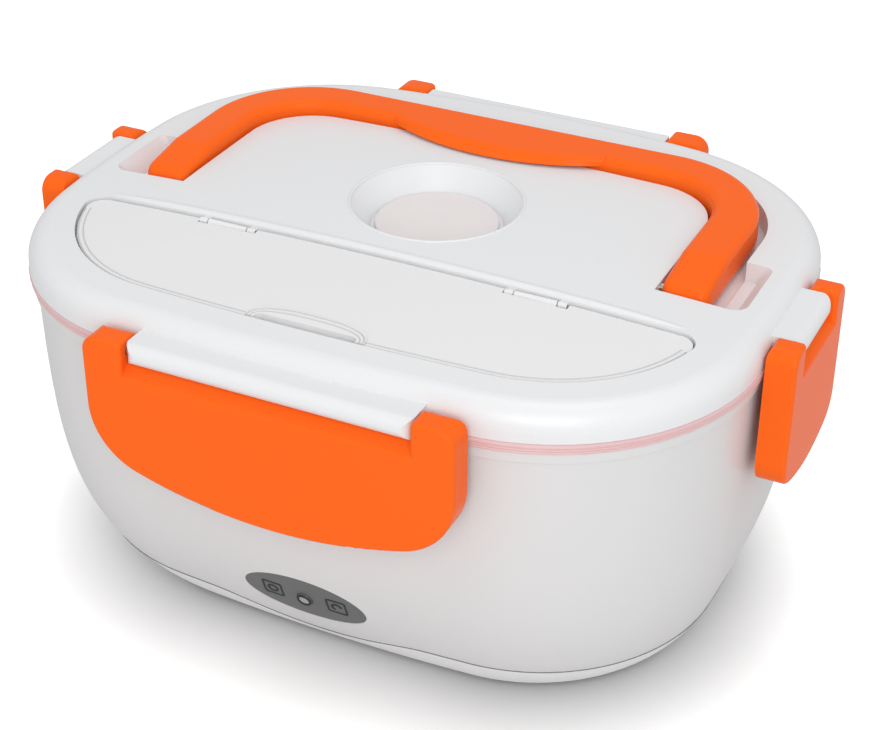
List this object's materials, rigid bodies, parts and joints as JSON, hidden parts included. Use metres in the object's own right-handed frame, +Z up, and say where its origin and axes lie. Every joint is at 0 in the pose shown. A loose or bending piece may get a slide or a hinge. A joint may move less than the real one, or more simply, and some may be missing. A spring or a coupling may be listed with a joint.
{
  "type": "electric lunch box",
  "caption": "Portable heated lunch box: bowl-shaped case with a lift-off domed lid, side latches, folding handle, spoon bay, steel tray and side dish.",
  "frame": {"origin": "on the table under the middle of the box", "axes": "+X along the box, -Y the front with the indicator panel, +Z up"},
  "size_m": [0.228, 0.1824, 0.1132],
  "materials": {
    "housing_white": "glossy off-white moulding",
    "skirt_white": "glossy off-white moulding",
    "lid_white": "glossy white moulding",
    "inner_white": "satin white moulding",
    "orange_gloss": "glossy orange moulding",
    "cover_clear": "clear, lightly frosted plastic",
    "panel_grey": "satin grey insert",
    "lamp_window": "clear light window",
    "board_green": "printed circuit board",
    "inlet_black": "black moulding",
    "contact_metal": "plated contact",
    "screw_steel": "zinc-plated steel",
    "pin_steel": "drawn steel",
    "tray_steel": "brushed stainless steel",
    "plate_aluminium": "satin aluminium",
    "heater_aluminium": "extruded aluminium",
    "thermostat_black": "moulded resin",
    "fuse_metal": "drawn metal case",
    "fibre_sleeve": "woven fibre sleeve",
    "wire_red": "silicone insulation",
    "wire_blue": "silicone insulation",
    "wire_yellow": "silicone insulation",
    "gasket_silicone": "soft silicone",
    "plug_silicone": "soft silicone",
    "foot_rubber": "rubber"
  },
  "bodies": {
    "base": {"outer_housing": "housing_white", "bottom_cover": "skirt_white", "rubber_feet": "foot_rubber", "cover_screws": "screw_steel", "inner_well": "inner_white", "heating_plate": "plate_aluminium", "plate_screws": "screw_steel", "ptc_heater": "heater_aluminium", "heater_strap": "screw_steel", "heater_screws": "screw_steel", "thermostat": "thermostat_black", "thermal_fuse": "fuse_metal", "fuse_saddle": "fibre_sleeve", "indicator_panel": "panel_grey", "led_lens": "lamp_window", "led_board": "board_green", "inlet_housing": "inlet_black", "inlet_pins": "contact_metal", "inlet_screws": "screw_steel", "live_wire": "wire_red", "fuse_link": "wire_red", "heater_link": "wire_red", "neutral_wire": "wire_blue", "panel_wires": "wire_yellow"},
    "lid": {"lid_shell": "lid_white", "lid_liner": "inner_white", "lid_gasket": "gasket_silicone", "cover_pins": "pin_steel", "handle_pins": "pin_steel", "latch_pins": "pin_steel"},
    "food_tray": {"food_tray": "tray_steel"},
    "side_dish": {"side_dish": "inner_white"},
    "vent_plug": {"vent_plug": "plug_silicone"},
    "utensil_cover": {"utensil_cover": "cover_clear"},
    "spoon": {"spoon": "orange_gloss"},
    "carry_handle": {"carry_handle": "orange_gloss"},
    "latch_front": {"latch_front": "orange_gloss"},
    "latch_right": {"latch_right": "orange_gloss"},
    "latch_back": {"latch_back": "orange_gloss"},
    "latch_left": {"latch_left": "orange_gloss"}
  },
  "joints": [
    {"name": "lid_lift", "type": "slide", "parent": "base", "child": "lid", "axis": [0, 0, 1], "range_m": [0, 0.16]},
    {"name": "tray_lift", "type": "slide", "parent": "base", "child": "food_tray", "axis": [0, 0, 1], "range_m": [0, 0.073]},
    {"name": "dish_lift", "type": "slide", "parent": "base", "child": "side_dish", "axis": [0, 0, 1], "range_m": [0, 0.113]},
    {"name": "handle_hinge", "type": "hinge", "parent": "lid", "child": "carry_handle", "pos_m": [0, -0.0057, 0.1069], "axis": [1, 0, 0], "range_deg": [0, 90]},
    {"name": "cover_hinge", "type": "hinge", "parent": "lid", "child": "utensil_cover", "pos_m": [0, -0.0287, 0.10868], "axis": [-1, 0, 0], "range_deg": [0, 80]},
    {"name": "spoon_lift", "type": "slide", "parent": "lid", "child": "spoon", "axis": [0, 0, 1], "range_m": [0, 0.0085]},
    {"name": "plug_lift", "type": "slide", "parent": "lid", "child": "vent_plug", "axis": [0, 0, 1], "range_m": [0, 0.006]},
    {"name": "front_latch_hinge", "type": "hinge", "parent": "lid", "child": "latch_front", "pos_m": [0, -0.0872, 0.102], "axis": [-1, 0, 0], "range_deg": [0, 110]},
    {"name": "back_latch_hinge", "type": "hinge", "parent": "lid", "child": "latch_back", "pos_m": [0, 0.0872, 0.102], "axis": [1, 0, 0], "range_deg": [0, 110]},
    {"name": "right_latch_hinge", "type": "hinge", "parent": "lid", "child": "latch_right", "pos_m": [0.11, 0, 0.102], "axis": [0, -1, 0], "range_deg": [0, 110]},
    {"name": "left_latch_hinge", "type": "hinge", "parent": "lid", "child": "latch_left", "pos_m": [-0.11, 0, 0.102], "axis": [0, 1, 0], "range_deg": [0, 110]}
  ],
  "couplings": [
    {"joint": "tray_lift", "follows": "lid_lift", "ratio": 0.45},
    {"joint": "dish_lift", "follows": "lid_lift", "ratio": 0.7},
    {"joint": "spoon_lift", "follows": "cover_hinge", "m_per_rad": 0.006}
  ]
}
